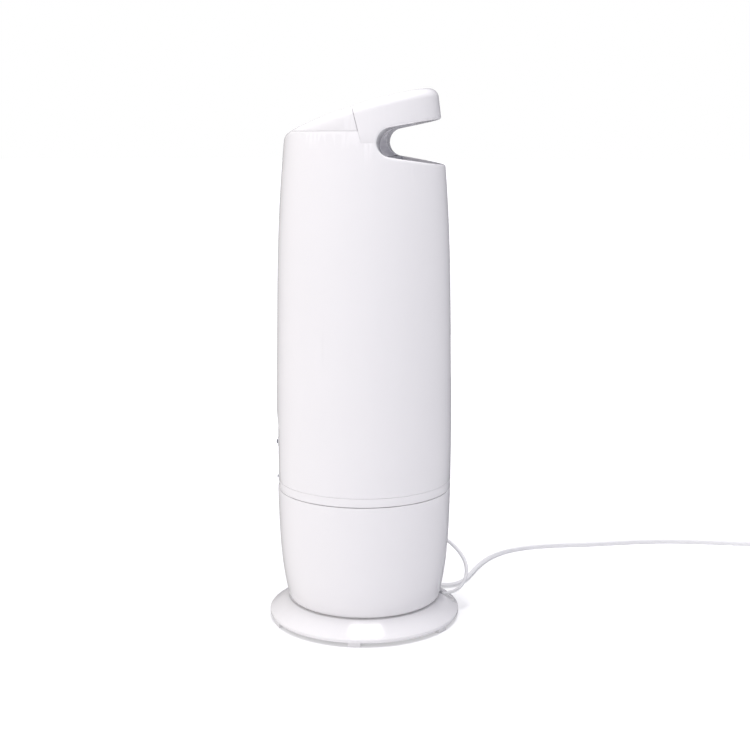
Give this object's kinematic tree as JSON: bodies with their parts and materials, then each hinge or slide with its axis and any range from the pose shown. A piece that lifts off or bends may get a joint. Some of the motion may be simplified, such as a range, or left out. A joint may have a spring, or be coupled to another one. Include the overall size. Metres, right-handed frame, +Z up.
{
  "type": "cool mist humidifier",
  "caption": "Tall white tower humidifier: round foot plate, ultrasonic base with front panel, lift-off tank with hooked rear carry handle and slanted mist cap, flat cord.",
  "frame": {"origin": "on the floor under the tower's axis, at the centre of the foot plate", "axes": "+Z up, -Y the front with the control panel, +Y the rear with the grip and the cord, +X the side"},
  "size_m": [0.399, 0.685, 0.5739],
  "materials": {
    "white_shell": "high-gloss white ABS",
    "white_nozzle": "gloss white ABS",
    "white_inner": "satin white polypropylene",
    "pad": "soft white foot pad",
    "grey_rubber": "soft grey silicone",
    "ceramic_disc": "coated piezo disc",
    "steel": "zinc-plated steel",
    "aluminium": "extruded aluminium",
    "circuit": "green circuit board",
    "transformer": "taped coil",
    "dark_plastic": "black moulded plastic",
    "display": "smoked window",
    "cord": "soft white PVC",
    "brass": "plug blades",
    "cap_blue": "pale blue polypropylene",
    "float": "foamed float",
    "button": "pale grey keys"
  },
  "bodies": {
    "base": {"foot_plate": "white_shell", "foot_pads": "pad", "bottom_cover": "white_inner", "base_housing": "white_shell", "water_basin": "white_inner", "float_clip": "white_inner", "transducer_disc": "ceramic_disc", "transducer_seal": "grey_rubber", "transducer_holder": "steel", "holder_screws": "steel", "driver_board": "circuit", "heat_sink": "aluminium", "power_board": "circuit", "transformer": "transformer", "fan_housing": "dark_plastic", "fan_motor": "steel", "air_duct": "white_inner", "panel_board": "circuit", "display_module": "dark_plastic", "display_window": "display", "base_screws": "steel", "strain_relief": "cord", "power_cord": "cord", "cord_coil": "cord", "power_plug": "cord", "plug_blades": "brass"},
    "tank": {"tank_shell": "white_shell", "tank_collar": "white_shell", "tank_floor": "white_inner", "mist_chimney": "white_inner", "chimney_gasket": "grey_rubber", "floor_gasket": "grey_rubber", "carry_handle": "white_shell", "grip_liner": "white_shell"},
    "cap_body": {"tank_cap": "cap_blue", "cap_gasket": "grey_rubber", "valve_spring": "steel"},
    "valve_body": {"valve_plunger": "white_inner", "valve_seal": "grey_rubber"},
    "top_cap_body": {"top_cap": "white_shell", "nozzle_ring": "grey_rubber"},
    "nozzle_body": {"mist_nozzle": "white_nozzle"},
    "float_body": {"float_ring": "float"},
    "rotor_body": {"fan_rotor": "dark_plastic"},
    "power_button_body": {"power_button": "button"},
    "mist_button_body": {"mist_button": "button"},
    "timer_button_body": {"timer_button": "button"},
    "humidity_button_body": {"humidity_button": "button"},
    "sleep_button_body": {"sleep_button": "button"}
  },
  "joints": [
    {"name": "tank_lift", "type": "slide", "parent": "base", "child": "tank", "axis": [0, 0, 1], "range_m": [0, 0.16]},
    {"name": "top_cap_lift", "type": "slide", "parent": "tank", "child": "top_cap_body", "axis": [0, -0.331, 0.9436], "range_m": [0, 0.09]},
    {"name": "nozzle_turn", "type": "hinge", "parent": "top_cap_body", "child": "nozzle_body", "pos_m": [0, -0.038, 0.54333], "axis": [0, -0.331, 0.9436], "continuous": true},
    {"name": "tank_cap_turn", "type": "hinge", "parent": "tank", "child": "cap_body", "pos_m": [0, 0.036, 0.15], "axis": [0, 0, 1], "range_deg": [0, 90]},
    {"name": "valve_press", "type": "slide", "parent": "cap_body", "child": "valve_body", "axis": [0, 0, 1], "range_m": [0, 0.005], "stiffness_N_per_m": 120, "springref_m": -0.004, "deforming": ["valve_spring"]},
    {"name": "float_rise", "type": "slide", "parent": "base", "child": "float_body", "axis": [0, 0, 1], "range_m": [0, 0.012]},
    {"name": "fan_spin", "type": "hinge", "parent": "base", "child": "rotor_body", "pos_m": [-0.042, 0.014, 0.04], "axis": [0, 0, 1], "continuous": true},
    {"name": "power_button_press", "type": "slide", "parent": "base", "child": "power_button_body", "axis": [0, 1, 0], "range_m": [0, 0.0012], "stiffness_N_per_m": 300, "springref_m": -0.001},
    {"name": "mist_button_press", "type": "slide", "parent": "base", "child": "mist_button_body", "axis": [0, 1, 0], "range_m": [0, 0.0012], "stiffness_N_per_m": 300, "springref_m": -0.001},
    {"name": "timer_button_press", "type": "slide", "parent": "base", "child": "timer_button_body", "axis": [0, 1, 0], "range_m": [0, 0.0012], "stiffness_N_per_m": 300, "springref_m": -0.001},
    {"name": "humidity_button_press", "type": "slide", "parent": "base", "child": "humidity_button_body", "axis": [0, 1, 0], "range_m": [0, 0.0012], "stiffness_N_per_m": 300, "springref_m": -0.001},
    {"name": "sleep_button_press", "type": "slide", "parent": "base", "child": "sleep_button_body", "axis": [0, 1, 0], "range_m": [0, 0.0012], "stiffness_N_per_m": 300, "springref_m": -0.001}
  ]
}
